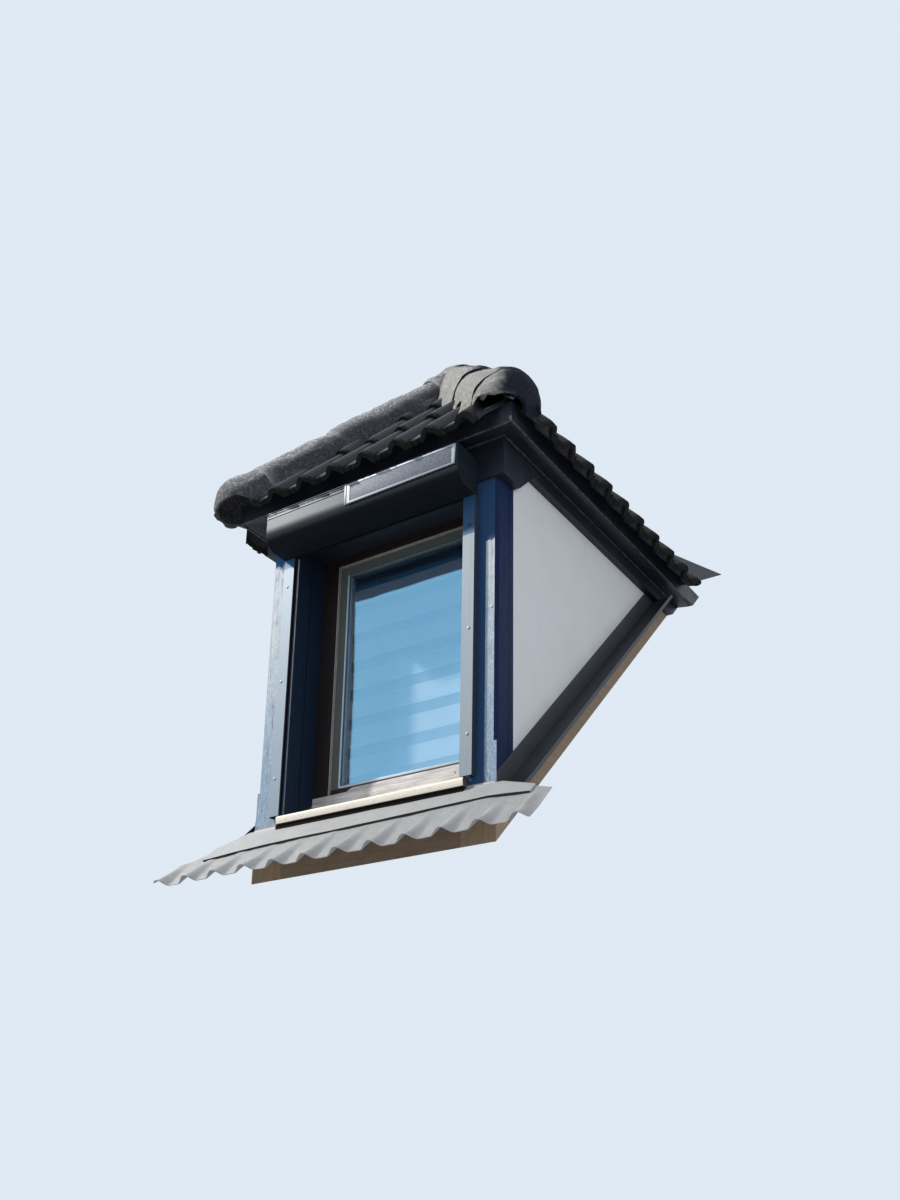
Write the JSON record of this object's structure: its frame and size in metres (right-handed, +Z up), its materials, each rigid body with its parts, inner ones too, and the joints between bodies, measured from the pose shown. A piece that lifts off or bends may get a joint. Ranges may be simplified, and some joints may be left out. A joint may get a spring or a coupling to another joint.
{
  "type": "hipped dormer window",
  "caption": "Small hipped dormer for a tiled roof: timber posts, rendered cheeks, roll tiles with hip caps, a recessed window, a roller shutter box and guide rails.",
  "frame": {"origin": "middle of the sloping underside of the beam below the window, on the slope that the dormer stands on", "axes": "+X to the right seen from the front, +Y into the roof, +Z up"},
  "size_m": [1.662, 2.5776, 2.5065],
  "materials": {
    "post_paint": "semi-gloss paint",
    "dark_paint": "weathered paint",
    "structural_timber": "sawn",
    "roof_boards": "sawn",
    "render": "fine float render",
    "lining_board": "matt paint",
    "roof_tile": "weathered concrete",
    "cap_tile": "weathered concrete with lichen",
    "valley_metal": "dull",
    "apron_lead": "matt lead",
    "cover_metal": "matt",
    "flashing_metal": "matt",
    "frame_paint": "weathered stain",
    "sash_paint": "weathered paint",
    "glass": "clear",
    "bare_rail": "weathered grain",
    "sill_stone": "cream coated",
    "cassette_plastic": "satin",
    "blind_fabric": "striped weave",
    "box_metal": "satin coat",
    "panel_cells": "cells under a clear cover in a bright frame",
    "rail_metal": "satin"
  },
  "bodies": {
    "root": {"left_post": "post_paint", "right_post": "post_paint", "lintel": "dark_paint", "side_wall_plates": "structural_timber", "front_wall_plate": "structural_timber", "sole_plates": "structural_timber", "front_sole_beam": "structural_timber", "left_cheek": "render", "right_cheek": "render", "cheek_linings": "lining_board", "ceiling_lining": "lining_board", "ridge_board": "structural_timber", "hip_rafters": "structural_timber", "rafters": "structural_timber", "left_roof_deck": "roof_boards", "right_roof_deck": "roof_boards", "front_roof_deck": "roof_boards", "left_fascia": "dark_paint", "right_fascia": "dark_paint", "front_fascia": "dark_paint", "soffits": "dark_paint", "left_frieze_board": "dark_paint", "right_frieze_board": "dark_paint", "front_frieze_board": "dark_paint", "left_tiles": "roof_tile", "right_tiles": "roof_tile", "front_tiles": "roof_tile", "left_hip_caps": "cap_tile", "right_hip_caps": "cap_tile", "ridge_caps": "cap_tile", "valley_sheets": "valley_metal", "apron": "apron_lead", "apron_cover_strip": "cover_metal", "side_flashings": "flashing_metal", "window_frame": "frame_paint", "window_sash": "sash_paint", "window_glass": "glass", "window_bottom_rail": "bare_rail", "window_sill": "sill_stone", "blind_cassette": "cassette_plastic", "zebra_blind": "blind_fabric", "shutter_box": "box_metal", "solar_panel": "panel_cells", "left_guide_rail": "rail_metal", "right_guide_rail": "rail_metal"}
  },
  "joints": []
}
